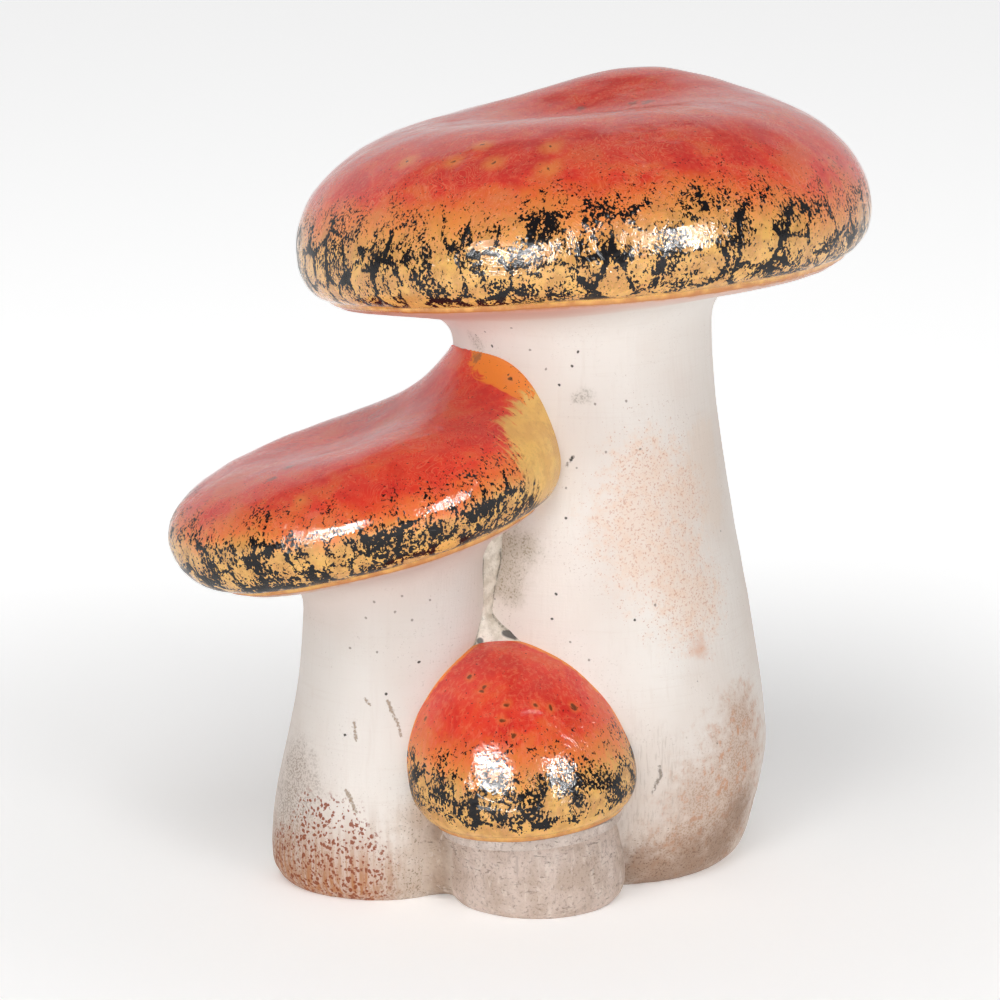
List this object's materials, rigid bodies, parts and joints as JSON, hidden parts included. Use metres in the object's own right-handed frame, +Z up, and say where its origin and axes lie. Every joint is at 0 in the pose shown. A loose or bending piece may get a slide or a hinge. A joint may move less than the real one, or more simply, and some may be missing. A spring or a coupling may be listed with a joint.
{
  "type": "mushroom ornament",
  "caption": "Free-standing fired clay ornament: a clump of mushrooms on one foot, with glossy red and ochre glazed caps on off-white stems.",
  "frame": {"origin": "centre of the bounding box's footprint, on the plane that the stems stand on", "axes": "+Z up; -Y is the front, where all the caps show; +X points to the side of the tallest mushroom"},
  "size_m": [0.1758, 0.1444, 0.1997],
  "materials": {
    "white_clay": "satin off-white glaze with small pinholes, sponged brown near the foot",
    "raw_clay": "matt pinkish grey clay with dark specks",
    "slip": "smoothed clay slip, off-white with grey-green smudges",
    "glazed_crown": "high-gloss mottled red glaze that runs to ochre with a black crackled band above the rim"
  },
  "bodies": {
    "root": {"large_stem": "white_clay", "large_cap_underside": "white_clay", "large_cap_crown": "glazed_crown", "large_neck_fillet": "slip", "medium_stem": "white_clay", "medium_cap_underside": "white_clay", "medium_cap_crown": "glazed_crown", "medium_neck_fillet": "slip", "small_stem": "raw_clay", "small_cap_underside": "raw_clay", "small_cap_crown": "glazed_crown", "small_neck_fillet": "slip", "stem_seam_front": "slip", "stem_seam_back": "slip", "foot_seam": "raw_clay"}
  },
  "joints": []
}
